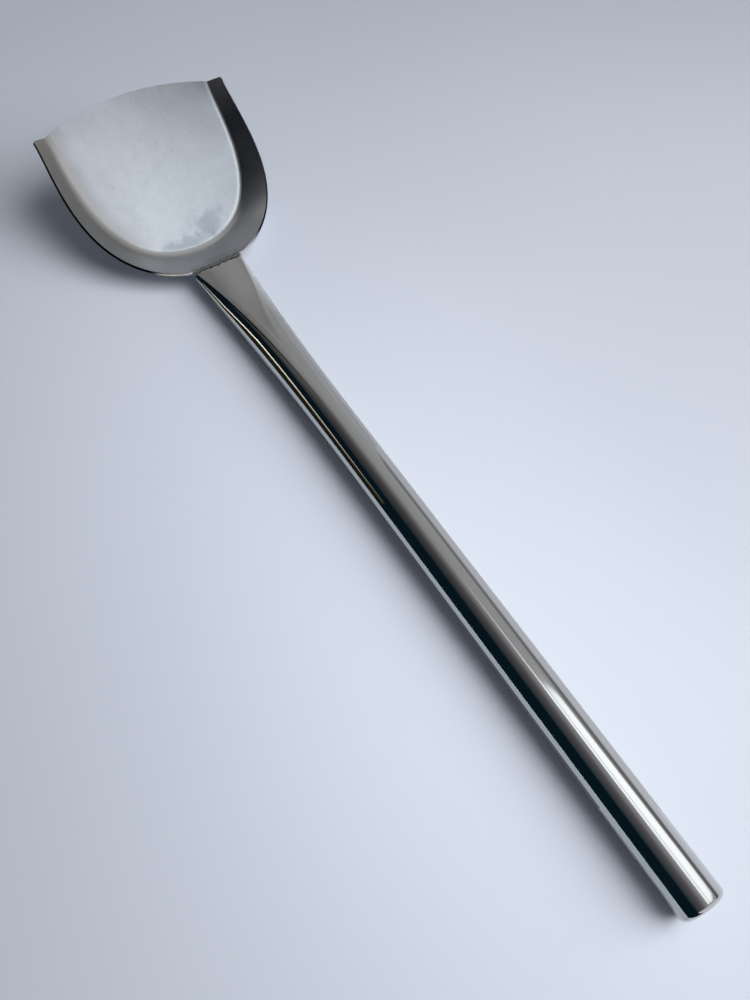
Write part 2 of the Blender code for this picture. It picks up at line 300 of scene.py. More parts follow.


# The tube's pressed front is darker between two lines, the left one drifting with the tube's width; the
# darkening is a painted dark reflection
polishedSteel = dict(
    clean=(0.62, 0.62, 0.61, 1.0), worn=(0.59, 0.59, 0.59, 1.0), pressed=(0.36, 0.36, 0.355, 1.0),
    pale=(0.90, 0.90, 0.90, 1.0), roughness=(0.35, 0.65, 0.07, 0.12),
    lines=dict(scale=(6, 1400, 1400), detail=3, roughness=0.6), wornFade=(0.35, 0.7, 0, 1), lineDepth=0.001,
    clouds=dict(scale=(40, 90, 90), detail=3),
    blotch=dict(scale=(220, 220, 220), detail=5, roughness=0.6), blotchFade=(0.3, 0.7, 0.85, 1.1),
    driftAlong=(-131, -98, 4.6, 0), darkBandLeftSide=(-8.6, -7.4, 0, 1), darkBandRightSide=(-6.5, 2.5, 1, 0),
    darkBandAlong=(-75, -42, 1, 0), paleSide=(-7, 7, 0, 1), paleAlong=(-108, -84, 1, 0))


def makePolished():
    look = polishedSteel
    nb = NodeBuilder("polishedSteel", metallic=1.0)
    along = nb.axis(0)
    side = nb.axis(1)
    lines = nb.noise(**look["lines"])
    clouds = nb.noise(**look["clouds"])
    blotch = nb.noise(**look["blotch"])
    base = nb.blend(nb.ramp(lines, *look["wornFade"]), look["clean"], look["worn"])
    fromLeft = nb.plus(side, nb.ramp(along, *look["driftAlong"]))
    darkBand = nb.times(
        nb.ramp(fromLeft, *look["darkBandLeftSide"]), nb.ramp(side, *look["darkBandRightSide"]),
        nb.ramp(along, *look["darkBandAlong"]), nb.ramp(blotch, *look["blotchFade"]))
    # painted dark reflection on the top of the pressed front
    base = nb.blend(darkBand, base, look["pressed"])
    # painted highlight: the tube's right side near the weld pale
    rightHighlight = nb.times(nb.ramp(side, *look["paleSide"]), nb.ramp(along, *look["paleAlong"]))
    base = nb.blend(rightHighlight, base, look["pale"])
    nb.link(base, nb.shader.inputs["Base Color"])
    nb.link(nb.ramp(clouds, *look["roughness"]), nb.shader.inputs["Roughness"])
    nb.link(nb.bump(lines, look["lineDepth"]), nb.shader.inputs["Normal"])
    return nb.material


weldSteel = dict(
    bright=(0.55, 0.54, 0.52, 1.0), burnt=(0.10, 0.09, 0.085, 1.0), roughness=(0.3, 0.7, 0.25, 0.5),
    spots=dict(scale=(700, 700, 700), detail=4, roughness=0.7), spotFade=(0.35, 0.65, -0.45, 0.35),
    burntFade=(0, 1, 0, 1), spotDepth=0.02)


def makeWeld():   # "edge" is near 1 along the bead's two burnt lines and near 0 elsewhere
    look = weldSteel
    nb = NodeBuilder("weldSteel", metallic=1.0)
    spots = nb.noise(**look["spots"])
    dark = nb.plus(nb.attribute("edge"), nb.ramp(spots, *look["spotFade"]))
    base = nb.blend(nb.ramp(dark, *look["burntFade"]), look["bright"], look["burnt"])
    nb.link(base, nb.shader.inputs["Base Color"])
    nb.link(nb.ramp(spots, *look["roughness"]), nb.shader.inputs["Roughness"])
    nb.link(nb.bump(spots, look["spotDepth"]), nb.shader.inputs["Normal"])
    return nb.material


satin = makeSatin()
polished = makePolished()
weldMetal = makeWeld()
print("materials made")


def dress(item, material, node):
    item.data.materials.append(material)
    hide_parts(node)
    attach(item, "root")


# Blade, drawn in its floor's plane: forward from the heel, sideways, and up from the floor.
# The outline is the bend line of one half, a Bezier curve whose points are shares of the side's length
# and of half the width. A fade is the power with which a value changes from the heel to the tip, and
# rimShare says that "across" is 1.9 where the band along the rim starts.

blade = dict(
    sheet=1.2, sideLength=77.6, width=90.4, bulge=7.5, heelReach=23.3, tilt=34.6,
    outline=((0.0, 0.0), (0.0, 0.52), (0.16, 1.175), (0.80, 0.942), (1.0, 1.0)),
    bendRadius=5.0, leftBend=10.0, rightBend=2.6, bendFade=0.75,
    angleBack=58.5, angleFront=29.0, angleFade=1.5, outBack=15.9, outFront=7.2, outFade=1.78,
    tipRadius=1.6, bowReach=12.0, jointGap=0.3, rimBand=0.3, rimShare=0.9,
    edgeRound=0.28, edgeSteps=3, edgeAngle=50, mergeGap=0.001,
    stations=150, tipSteps=12, bendSteps=14, wallSteps=10, floorSteps=24, samples=600)

tilt = math.radians(blade["tilt"])
angleBack = math.radians(blade["angleBack"])
angleFront = math.radians(blade["angleFront"])


def outlinePoint(share):
    order = len(blade["outline"]) - 1
    forward = side = 0.0
    for i, (lengthShare, widthShare) in enumerate(blade["outline"]):
        weight = math.comb(order, i) * share ** i * (1 - share) ** (order - i)
        forward += weight * lengthShare * blade["sideLength"]
        side += weight * widthShare * blade["width"] / 2
    return Vector((forward, side, 0.0))


outlinePoints = [outlinePoint(i / blade["samples"]) for i in range(blade["samples"] + 1)]
outlineRun = [0.0]
for start, end in zip(outlinePoints, outlinePoints[1:]):
    outlineRun.append(outlineRun[-1] + (end - start).length)


def outlineAt(distance):   # the bend line's point and outward direction
    low = min(bisect_left(outlineRun, distance, 1), len(outlineRun) - 1) - 1
    share = (distance - outlineRun[low]) / (outlineRun[low + 1] - outlineRun[low])
    run = (outlinePoints[low + 1] - outlinePoints[low]).normalized()
    if distance == 0:   # the heel, which both halves share
        run = Vector((0, 1, 0))
    return outlinePoints[low].lerp(outlinePoints[low + 1], share), Vector((-run.y, run.x, 0))


# The heel's height rests the outside of its bend on the table. The blade's edge is the upper rim at the
# joint, measured from the weld.
heelCentre = blade["bendRadius"] / math.cos(angleBack / 2)
heelHeight = blade["bendRadius"] + blade["sheet"] - heelCentre * math.cos(tilt - angleBack / 2)
bladeEdge = -blade["jointGap"] - blade["sheet"] * math.sin(angleBack - tilt)


def fromFloor(point):
    forward, side, up = point
    x = weldX - blade["heelReach"] - forward * math.cos(tilt) + up * math.sin(tilt)
    return Vector((x, side, heelHeight + forward * math.sin(tilt) + up * math.cos(tilt)))


def wallAngle(share):
    return mix(angleBack, angleFront, share ** blade["angleFade"])


def frontBow(side):   # how far the floor's front edge stands before a straight one
    return blade["bulge"] * max(0.0, 1 - (side / (blade["width"] / 2)) ** 2)


def wallSection(distance, frontBend):   # across the bend and the wall, from the floor's edge to the rim
    length = outlineRun[-1]
    share = distance / length
    corner, outward = outlineAt(distance)
    up = Vector((0, 0, 1))
    angle = wallAngle(share)
    out = mix(blade["outFront"], blade["outBack"], (1 - share) ** blade["outFade"])
    climb = outward * math.cos(angle) + up * math.sin(angle)
    reach = out / math.cos(angle)
    fromTip = length - distance
    radius = blade["tipRadius"]
    if fromTip < radius:
        reach -= radius - math.sqrt(radius ** 2 - (radius - fromTip) ** 2)
    start = fromFloor(corner)
    perLength = fromFloor(corner + climb).x - start.x
    if start.x + perLength * reach > weldX + bladeEdge:   # the wall's back is cut off at the joint
        reach = (weldX + bladeEdge - start.x) / perLength
    bend = mix(blade["bendRadius"], frontBend, share ** blade["bendFade"])
    tangent = bend * math.tan(angle / 2)
    centre = corner - outward * tangent + up * bend
    section = []
    for i in range(blade["bendSteps"] + 1):
        turn = angle * i / blade["bendSteps"]
        section.append(centre + bend * (outward * math.sin(turn) - up * math.cos(turn)))
    for i in range(1, blade["wallSteps"]):
        section.append(corner + climb * mix(tangent, reach, i / blade["wallSteps"]))
    section.append(corner + climb * (reach - blade["rimBand"]))
    section.append(corner + climb * reach)
    bowShare = max(0.0, 1 - fromTip / blade["bowReach"])
    return [point + Vector((frontBow(point.y) * bowShare, 0, 0)) for point in section]


def bladeHalf(side, verts, faces, across):   # side is 1 for the right half and -1 for the left one
    length = outlineRun[-1]
    straight = length - blade["tipRadius"]
    places = [straight * i / blade["stations"] for i in range(blade["stations"])]
    for i in range(blade["tipSteps"] + 1):
        places.append(straight + blade["tipRadius"] * math.sin(math.radians(90) * i / blade["tipSteps"]))
    steps = blade["floorSteps"]
    reach = blade["sideLength"] + blade["bulge"]
    frontBend = blade["rightBend"] if side > 0 else blade["leftBend"]
    heel = wallSection(0.0, frontBend)[0].x
    rows = []
    for place in places:
        section = wallSection(place, frontBend)
        foot = section[0]
        middle = mix(heel, reach, place / length)
        row = []
        for j in range(steps):
            share = j / steps
            row.append(Vector((mix(middle, foot.x, share ** 2), foot.y * share, 0.0)))
        rows.append(row + section)
    count = len(rows[0])
    beyond = count - steps - 2   # steps from the bend's foot to the rim's band
    shares = [j / steps for j in range(steps)]
    shares += [1 + blade["rimShare"] * j / beyond for j in range(beyond + 1)] + [2.0]
    index = []
    for i, row in enumerate(rows):
        line = []
        for j, point in enumerate(row):
            if i == 0 and 0 < j <= steps:   # the floor's first row is one point, the heel
                line.append(line[0])
                continue
            line.append(len(verts))
            verts.append(fromFloor((point.x, side * point.y, point.z)))
            across.append(shares[j])
        index.append(line)
    for i in range(len(rows) - 1):
        for j in range(count - 1):
            face = (index[i][j], index[i][j + 1], index[i + 1][j + 1], index[i + 1][j])
            unique = list(dict.fromkeys(face))
            if len(unique) > 2:
                faces.append(tuple(unique) if side > 0 else tuple(reversed(unique)))


def buildBlade():
    verts = []
    faces = []
    across = []
    bladeHalf(1, verts, faces, across)
    bladeHalf(-1, verts, faces, across)
    item = addObject("bladeSheet", verts, faces, smoothAngle=180)
    addValues(item, "across", across)
    cleanMesh(item, mergeGap=blade["mergeGap"], outward=False)
    thick = item.modifiers.new("sheet", "SOLIDIFY")
    thick.thickness = blade["sheet"] * mm
    thick.offset = -1.0
    thick.use_even_offset = True
    edge = item.modifiers.new("edge", "BEVEL")
    edge.width = blade["edgeRound"] * mm
    edge.segments = blade["edgeSteps"]
    edge.limit_method = "ANGLE"
    edge.angle_limit = math.radians(blade["edgeAngle"])
    edge.harden_normals = False
    return item


bladeSheet = buildBlade()
dress(bladeSheet, satin, "blade")
print("blade made")


# Handle: a round tube whose front is pressed flat and wide. A fade is the power with which a size
# changes from the mouth to the round part, and the side's dip is deepest a third of the way back.

handle = dict(
    radius=9.5, wall=1.0, press=150.0, mouthShare=28.0 / 19.0, flatShare=24.0 / 28.0, edgeDrop=1.6,
    topFade=2.8, widthFade=2.2, flatFade=3.1, sideFade=3, sideDip=2.4, flatTurn=20, smoothAngle=50,
    pressStations=170, plainStations=24, flatSteps=24, shoulderSteps=20, bellySteps=64, girthSteps=48)


def wallTop(x, y):   # height of the back wall's upper face over a point, x measured from the weld
    low, high = 0.0, outlineRun[-1] / 2
    for step in range(searchSteps):
        distance = (low + high) / 2
        corner, outward = outlineAt(distance)
        angle = wallAngle(distance / outlineRun[-1])
        start = fromFloor(corner)
        climb = fromFloor(corner + outward * math.cos(angle) + Vector((0, 0, math.sin(angle)))) - start
        place = start + climb * ((weldX + x - start.x) / climb.x)
        if place.y < abs(y):
            low = distance
        else:
            high = distance
    return place.z


mouthHalf = handle["radius"] * handle["mouthShare"]
mouthFlat = mouthHalf * handle["flatShare"]
mouthTop = (wallTop(0.0, 0.0) + wallTop(0.0, mouthFlat)) / 2


def topPoint(halfWidth, flatHalf, shoulder, turn):   # nearly flat in the middle, then a rounded shoulder
    flatShare = math.sin(math.radians(90) * max(-1.0, min(1.0, turn / math.radians(handle["flatTurn"]))))
    return Vector((flatHalf * flatShare + (halfWidth - flatHalf) * math.sin(turn), shoulder * math.cos(turn)))


def bellyDepth(halfWidth, flatHalf, shoulder):   # keeps the tube's girth, by an ellipse's usual formula
    steps = handle["girthSteps"]
    turns = [math.radians(mix(-90, 90, i / steps)) for i in range(steps + 1)]
    points = [topPoint(halfWidth, flatHalf, shoulder, turn) for turn in turns]
    left = 2 * math.pi * handle["radius"] - sum((b - a).length for a, b in zip(points, points[1:]))
    low, high = 0.0, 2 * handle["radius"]
    for step in range(searchSteps):
        depth = (low + high) / 2
        spread = 3 * (halfWidth + depth)
        root = math.sqrt((3 * halfWidth + depth) * (halfWidth + 3 * depth))
        if math.pi * (spread - root) / 2 < left:
            low = depth
        else:
            high = depth
    return depth


def handleTop(x):
    return mix(2 * handle["radius"], mouthTop, max(0.0, 1 - x / handle["press"]) ** handle["topFade"])


def pressed(x):   # half width, flat half, side height, shoulder and belly of the section at x from the weld
    radius = handle["radius"]
    near = max(0.0, 1 - x / handle["press"])
    halfWidth = mix(radius, mouthHalf, near ** handle["widthFade"])
    flatHalf = mouthFlat * near ** handle["flatFade"]
    dip = handle["sideDip"] * near ** 2 * (1 - near) * 27 / 4   # 27 / 4 makes the deepest place sideDip
    side = mix(radius, mouthTop - handle["edgeDrop"], near ** handle["sideFade"]) - dip
    shoulder = handleTop(x) - side
    return halfWidth, flatHalf, side, shoulder, min(side, bellyDepth(halfWidth, flatHalf, shoulder))


def tubeSection(x, inset=0.0):
    halfWidth, flatHalf, side, shoulder, belly = pressed(x)
    halfWidth, shoulder, belly = (v - inset for v in (halfWidth, shoulder, belly))
    flatTurn = math.radians(handle["flatTurn"])
    flatSteps, shoulderSteps = handle["flatSteps"], handle["shoulderSteps"]
    turns = [mix(-flatTurn, flatTurn, i / flatSteps) for i in range(flatSteps + 1)]
    turns += [mix(flatTurn, math.radians(90), i / shoulderSteps) for i in range(1, shoulderSteps + 1)]
    before = [mix(-math.radians(90), -flatTurn, i / shoulderSteps) for i in range(shoulderSteps)]
    tops = [topPoint(halfWidth, flatHalf, shoulder, turn) for turn in turns + before]
    ring = [Vector((weldX + x, point.x, side + point.y)) for point in tops]
    lower = []
    for i in range(1, handle["bellySteps"]):
        turn = math.pi * i / handle["bellySteps"]
        lower.append(Vector((weldX + x, halfWidth * math.cos(turn), side - belly * math.sin(turn))))
    return ring[:len(turns)] + lower + ring[len(turns):]


def buildHandle():
    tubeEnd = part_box("handle_tube")[1].x / mm - weldX
    places = [handle["press"] * i / handle["pressStations"] for i in range(handle["pressStations"])]
    for i in range(handle["plainStations"] + 1):
        places.append(mix(handle["press"], tubeEnd, i / handle["plainStations"]))
    outside = [tubeSection(x) for x in places]
    bore = [tubeSection(x, handle["wall"]) for x in reversed(places)]
    verts, faces = skinRings(outside + bore, loop=True)
    return addObject("handleTube", verts, faces, handle["smoothAngle"])


handleTube = buildHandle()
dress(handleTube, polished, "handle_tube")
print("handle made")


# End cap: a plug with a rounded edge, turned about the tube's axis

cap = dict(
    thickness=4.0, edgeRadius=2.0, spigot=7.0, clearance=0.3, chamfer=0.8,
    discRings=4, arcSteps=16, turns=128, mergeGap=0.0001)


def buildCap():
    radius = handle["radius"]
    spigotRadius = radius - handle["wall"] - cap["clearance"]
    edge = cap["edgeRadius"]
    profile = []
    for i in range(cap["discRings"] + 1):
        profile.append(((radius - edge) * i / cap["discRings"], cap["thickness"]))
    for i in range(1, cap["arcSteps"] + 1):
        turn = math.radians(90) * i / cap["arcSteps"]
        lift = cap["thickness"] - edge + edge * math.cos(turn)
        profile.append((radius - edge + edge * math.sin(turn), lift))
    profile.append((radius, 0.0))
    profile.append((spigotRadius, 0.0))
    profile.append((spigotRadius, -cap["spigot"] + cap["chamfer"]))
    profile.append((spigotRadius - cap["chamfer"], -cap["spigot"]))
    profile.append((0.0, -cap["spigot"]))
    seat = handleEndX - cap["thickness"]
    rings = []
    for reach, lift in profile:
        ring = []
        for k in range(cap["turns"]):
            turn = 2 * math.pi * k / cap["turns"]
            ring.append(Vector((seat + lift, reach * math.sin(turn), radius + reach * math.cos(turn))))
        rings.append(ring)
    item = addObject("endCap", *skinRings(rings))
    cleanMesh(item, mergeGap=cap["mergeGap"])
    shade(item.data)
    return item


endCap = buildCap()
dress(endCap, polished, "end_cap")
print("cap made")


# Welds. The bead wanders about the seam and its width swings, both as waves along y, its ends are
# rounded off, and two burnt lines run along it.

bead = dict(
    width=4.8, height=0.42, length=27.6, sink=0.12, rootDepth=1.2, crownPower=0.8, stations=300, steps=20,
    pitch=1.3, ripple=0.12, phaseRange=6, wander=0.35, wanderWaves=(0.9, 0.37), wanderPhase=1.3,
    swing=0.3, swingWave=1.7, endSwell=0.6, endLength=1.2, endRound=0.8, endWidth=0.3, endHeight=0.2,
    burntPlace=0.62, burntWidth=0.22, burntFrom=0.6, burntFade=0.8)


def seamTop(x, y):   # height of whatever the bead lies on
    if x < bladeEdge / 2:
        return wallTop(x, y)
    drop = 0.0
    if abs(y) > mouthFlat:
        span = (abs(y) - mouthFlat) / (mouthHalf - mouthFlat)
        drop = handle["edgeDrop"] * (1 - math.sqrt(max(0.0, 1 - min(1.0, span) ** 2)))
    return handleTop(max(0.0, x)) - drop


def addWeld(name, rings):   # a skin over the rings and a face on each end
    verts, faces = skinRings(rings)
    count = len(rings[0])
    last = len(verts) - count
    faces.append(tuple(reversed(range(count))))
    faces.append(tuple(range(last, last + count)))
    return addObject(name, verts, faces, smoothAngle=60)


def buildTopWeld():
    rings = []
    edges = []
    phase = random.random() * bead["phaseRange"]
    shortWave, longWave = bead["wanderWaves"]
    for i in range(bead["stations"] + 1):
        y = bead["length"] * (i / bead["stations"] - 0.5)
        wave = bead["ripple"] * math.cos(2 * math.pi * y / bead["pitch"] + phase)
        drift = bead["wander"] * math.sin(y * shortWave + phase)
        drift *= math.sin(y * longWave + bead["wanderPhase"])
        swing = bead["swing"] * math.sin(y * bead["swingWave"] + phase)
        fromEnd = bead["length"] / 2 - abs(y)
        swell = bead["endSwell"] * math.exp(-(fromEnd / bead["endLength"]) ** 2)
        close = math.sqrt(min(1.0, fromEnd / bead["endRound"]))
        half = (bead["width"] / 2 + wave + swing) * mix(bead["endWidth"], 1.0, close)
        crown = (bead["height"] + wave + swell) * mix(bead["endHeight"], 1.0, close)
        middle = bladeEdge / 2 + drift
        ring = []
        for k in range(bead["steps"] + 1):
            across = 2 * k / bead["steps"] - 1
            x = middle + half * across
            rise = (crown + bead["sink"]) * math.cos(across * math.pi / 2) ** bead["crownPower"]
            ring.append(Vector((weldX + x, y, seamTop(x, y) - bead["sink"] + rise)))
            burnt = sum(math.exp(-((across - place) / bead["burntWidth"]) ** 2)
                        for place in (-bead["burntPlace"], bead["burntPlace"]))
            edges.append(burnt * smooth((fromEnd - bead["burntFrom"]) / bead["burntFade"]))
        ring.append(Vector((weldX + middle, y, seamTop(middle, y) - bead["rootDepth"])))
        edges.append(0.0)
        rings.append(ring)
    item = addWeld("topWeld", rings)
    addValues(item, "edge", edges)
    cleanMesh(item)
    return item


topWeld = buildTopWeld()
dress(topWeld, weldMetal, "top_weld")

fillet = dict(
    leg=5.4, sag=0.35, endShare=0.5, toeSink=0.1, reach=0.2, pitch=1.8, ripple=0.12, stations=160, steps=14)


def buildUnderWeld():
    down = blade["sheet"] / math.cos(angleBack - tilt)   # the sheet's thickness measured straight down
    bottom = min(point.z for point in tubeSection(0.0))
    sideMiddle = mouthTop - handle["edgeDrop"]
    reach = fillet["reach"]
    rings = []
    for i in range(fillet["stations"] + 1):
        share = 2 * i / fillet["stations"] - 1
        y = mouthFlat * share
        wave = fillet["ripple"] * math.cos(2 * math.pi * y / fillet["pitch"])
        lip = sideMiddle - (sideMiddle - bottom) * math.sqrt(1 - (y / mouthHalf) ** 2)
        corner = Vector((weldX - reach, y, wallTop(-reach, y) - down - reach))
        lower = Vector((weldX, y, lip + reach))
        toeX = -blade["jointGap"] - fillet["leg"] * math.sqrt(1 - fillet["endShare"] * share ** 2) - wave
        toe = Vector((weldX + toeX, y, wallTop(toeX, y) - down + fillet["toeSink"]))
        across = (lower - toe).normalized()
        inward = Vector((-across.z, 0.0, across.x))
        ring = [corner, toe]
        for k in range(1, fillet["steps"]):
            along = k / fillet["steps"]
            ring.append(toe.lerp(lower, along) + inward * (fillet["sag"] + wave) * math.sin(math.pi * along))
        ring.append(lower)
        rings.append(ring)
    item = addWeld("underWeld", rings)
    cleanMesh(item)
    return item


underWeld = buildUnderWeld()
dress(underWeld, weldMetal, "under_weld")
print("welds made")


# Table, reflection cards and lamp. The table's colour holds a painted pool of light beside the handle and
# painted shade towards +y, and far away the table gives off painted light of its own, for the camera alone.

table = dict(
    size=6000, height=0.0, color=paint(214, 220, 232), patch=paint(170, 178, 192), roughness=0.7,
    specular=0.2, patches=dict(scale=(1.6, 1.6, 1.6), detail=2), patchFade=(0.3, 0.7, 0, 0.3),
    level=0.822, dim=0.355, dimFrom=17, dimTo=704, glow=0.354, glowCentre=(55, -38, 0),
    glowSize=(251, 141, 1000), farSize=1000, farFade=(0.55, 1.3, 0, 0.55))


def buildTable():
    half = table["size"] / 2
    z = min(table["height"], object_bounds()[0][2] / mm)
    corners = [(-half, -half, z), (half, -half, z), (half, half, z), (-half, half, z)]
    item = addObject("tableTop", corners, [(0, 1, 2, 3)])
    nb = NodeBuilder("tablePaper")
    patches = nb.noise(**table["patches"])
    color = nb.blend(nb.ramp(patches, *table["patchFade"]), table["color"], table["patch"])
    # painted shade: the table's colour darkens towards +y
    dimmed = table["level"] * (1 - table["dim"])
    dim = nb.soft(nb.axis(1), table["dimFrom"], table["dimTo"], table["level"], dimmed)
    # painted pool of light beside the handle
    reach = nb.away(table["glowCentre"], table["glowSize"])
    glow = nb.work("EXPONENT", nb.times(reach, reach, -1.0))
    tone = nb.times(dim, nb.plus(nb.times(glow, table["glow"]), 1.0))
    nb.link(nb.blend(1.0, color, tone, "MULTIPLY"), nb.shader.inputs["Base Color"])
    nb.shader.inputs["Roughness"].default_value = table["roughness"]
    nb.shader.inputs["Specular IOR Level"].default_value = table["specular"]
    # painted light: far from the handle the table emits its own colour, which only the camera sees
    distance = nb.away((0, 0, 0), (table["farSize"],) * 3)
    seen = nb.add("ShaderNodeLightPath").outputs["Is Camera Ray"]
    nb.link(nb.times(nb.soft(distance, *table["farFade"]), seen), nb.shader.inputs["Emission Strength"])
    nb.shader.inputs["Emission Color"].default_value = table["color"]
    item.data.materials.append(nb.material)


buildTable()

# What the metal mirrors and nothing else sees. The room is an arch over the handle. Each band is an
# angle in degrees from straight up towards +y, and the light there beyond the blade, over the blade's
# end and over the cap's. The columns are places along the handle, each with the number of its light.
room = dict(radius=1500, steps=180, columns=(
    (-3000, 1), (-1150, 1), (-850, 2), (-500, 2), (250, 3), (3000, 3)), bands=(
    (-90, (0.004, 0.014, 0.024), (0.004, 0.014, 0.024), (0.003, 0.018, 0.030)),
    (-54, (0.006, 0.016, 0.024), (0.006, 0.016, 0.024), (0.005, 0.019, 0.030)),
    (-46, (0.060, 0.060, 0.060), (0.034, 0.038, 0.046), (0.050, 0.062, 0.074)),
    (-34, (0.110, 0.108, 0.106), (0.052, 0.052, 0.054), (0.080, 0.080, 0.088)),
    (-22, (0.170, 0.168, 0.165), (0.085, 0.082, 0.082), (0.130, 0.118, 0.120)),
    (-8, (0.25, 0.25, 0.25), (0.16, 0.16, 0.16), (0.27, 0.27, 0.30)),
    (4, (0.33, 0.33, 0.335), (0.31, 0.31, 0.315), (0.42, 0.42, 0.43)),
    (20, (0.37, 0.37, 0.375), (0.38, 0.38, 0.385), (0.43, 0.43, 0.44)),
    (44, (0.37, 0.375, 0.38), (0.40, 0.405, 0.41), (0.41, 0.41, 0.42)),
    (64, (0.36, 0.36, 0.36), (0.36, 0.36, 0.36), (0.36, 0.36, 0.36)),
    (90, (0.40, 0.39, 0.38), (0.40, 0.39, 0.38), (0.40, 0.39, 0.38))))

# Each card: centre, the direction it faces, size along and across, and the light at its four
# corners, or at all of them where only one is given: low near the blade, low near the cap, high near
# the cap, high near the blade. On a card that faces along the handle, the cap's side is towards +y.
cards = dict(
    nearDark=dict(centre=(60, -45, 23), facing=(0.03, 1, 0), size=(420, 46), lights=((0.003, 0.011, 0.019),)),
    farDark=dict(centre=(350, -50, 23), facing=(0, 1, 0), size=(200, 46), lights=((0.003, 0.011, 0.019),)),
    tableGlow=dict(centre=(50, -29, 0.1), facing=(0, 0, 1), size=(380, 24), lights=((0.47, 0.54, 0.61),)),
    windowBar=dict(centre=(262, 225, 898), facing=(0, 0, -1), size=(404, 50), lights=((0.55, 0.59, 0.62),)),
    windowSide=dict(centre=(-40, 138, 899), facing=(0, 0, -1), size=(200, 64), lights=(
        (0.42, 0.42, 0.42), (1.4, 1.43, 1.46), (1.4, 1.43, 1.46), (0.42, 0.42, 0.42))),
    paleSide=dict(centre=(-220, 150, 25), facing=(0, -1, 0), size=(320, 50), lights=((0.42, 0.44, 0.47),)),
    paleHigh=dict(centre=(-220, 150, 90), facing=(0, -1, 0), size=(320, 80), lights=((0.43, 0.45, 0.48),)),
    paleEnd=dict(centre=(140, 150, 31), facing=(0, -1, 0), size=(400, 62), lights=(
        (0.56, 0.58, 0.62), (0.76, 0.80, 0.86), (0.70, 0.73, 0.78), (0.54, 0.56, 0.60))),
    tableRight=dict(centre=(30, 61, 0.1), facing=(0, 0, 1), size=(330, 98), lights=(
        (0.46, 0.48, 0.52), (0.66, 0.68, 0.72), (0.66, 0.68, 0.72), (0.42, 0.44, 0.48))),
    slotLow=dict(centre=(140, 150, 85), facing=(0, -1, 0), size=(400, 46), lights=(
        (0.31, 0.33, 0.36), (0.24, 0.25, 0.28), (0.08, 0.075, 0.08), (0.20, 0.205, 0.215))),
    slotHigh=dict(centre=(140, 150, 119), facing=(0, -1, 0), size=(400, 22), lights=(
        (0.20, 0.205, 0.215), (0.08, 0.075, 0.08), (0.36, 0.34, 0.34), (0.27, 0.27, 0.27))),
    capSide=dict(centre=(520, 120, 200), facing=(-1, 0, 0), size=(960, 400), lights=(
        (0.80, 0.83, 0.88), (0.80, 0.83, 0.88), (0.60, 0.62, 0.66), (0.60, 0.62, 0.66))),
    leftWall=dict(centre=(-267, 60, 32), facing=(0, -1, 0), size=(135, 64), lights=((0.18, 0.178, 0.176),)),
    leftSky=dict(centre=(-267, 60, 152), facing=(0, -1, 0), size=(135, 176), lights=(
        (0.18, 0.178, 0.176), (0.18, 0.178, 0.176), (0.42, 0.42, 0.42), (0.42, 0.42, 0.42))),
    rightRear=dict(centre=(-282, -60, 173), facing=(0, 1, 0), size=(114, 254), lights=(
        (0.11, 0.112, 0.12), (0.012, 0.014, 0.02), (0.006, 0.008, 0.012), (0.04, 0.042, 0.046))),
    rightWall=dict(centre=(-195, -60, 173), facing=(0, 1, 0), size=(60, 254), lights=(
        (0.012, 0.014, 0.02), (0.001, 0.003, 0.006), (0.001, 0.003, 0.006), (0.006, 0.008, 0.012))),
    bladeEndLow=dict(centre=(-420, -35, 55), facing=(1, 0, 0), size=(390, 110), lights=(
        (0.48, 0.47, 0.46), (0.60, 0.60, 0.60), (0.56, 0.56, 0.56), (0.50, 0.49, 0.48))),
    bladeEndHigh=dict(centre=(-420, -130, 205), facing=(1, 0, 0), size=(200, 190), lights=(
        (0.50, 0.49, 0.48), (0.36, 0.355, 0.35), (0.26, 0.26, 0.26), (0.40, 0.39, 0.38))),
    # painted shadow: a dark sheet on the table where the blade's shadow lies, seen only in the metal
    mirroredBladeShadow=dict(centre=(-265, -180, 0.1), facing=(0, 0, 1), size=(230, 260), lights=(
        (0.004, 0.005, 0.006),)))

# Cards with a slanted side: height, the four corners in the same order, light
slanted = dict(
    # painted shadow: a dark strip beside the handle for its contact shadow, seen only in the metal
    mirroredContactShadow=(0.1, ((-140, -24), (180, -17), (180, -10), (-140, -10)), (
        (0.03, 0.035, 0.04), (0.12, 0.13, 0.15), (0.12, 0.13, 0.15), (0.03, 0.035, 0.04))),
    window=(900, ((60, 70), (464, 70), (464, 1075), (60, 812)), ((1.52, 1.58, 1.63),)),
    windowWarm=(899, ((60, 812), (464, 1075), (464, 1145), (60, 872)), ((0.92, 0.58, 0.46),)))

# A warm bright edge low beside the pressed front. Each of its places is x, height and light. Under the
# edge the light falls away through the steps in "below", each a depth and a colour.
goldEdge = dict(
    y=-39.4, slant=0.03, slantFrom=60, width=1.2, tint=(1, 0.97, 0.78), lowest=0.2,
    border=0.5, borderColor=(0.13, 0.12, 0.08),
    below=((12, (0.012, 0.008, 0.004)), (4, (0.03, 0.024, 0.012))),
    places=(
        (-139, 11, 0.5), (-128, 10.5, 1.8), (-120, 10.5, 2.6), (-105, 15.5, 3.4), (-92, 19, 4.2),
        (-48, 19, 1.8), (-15, 19.5, 1.0), (20, 21, 0.1)))


def lightMaterial(name):   # light from the mesh's own "light" colours
    material = bpy.data.materials.new(name)
    material.use_nodes = True
    tree = material.node_tree
    tree.nodes.clear()
    color = tree.nodes.new("ShaderNodeAttribute")
    color.attribute_name = "light"
    light = tree.nodes.new("ShaderNodeEmission")
    light.inputs["Strength"].default_value = 1.0
    tree.links.new(color.outputs["Color"], light.inputs["Color"])
    out = tree.nodes.new("ShaderNodeOutputMaterial")
    tree.links.new(light.outputs[0], out.inputs["Surface"])
    return material


mirrorLight = lightMaterial("mirrorLight")


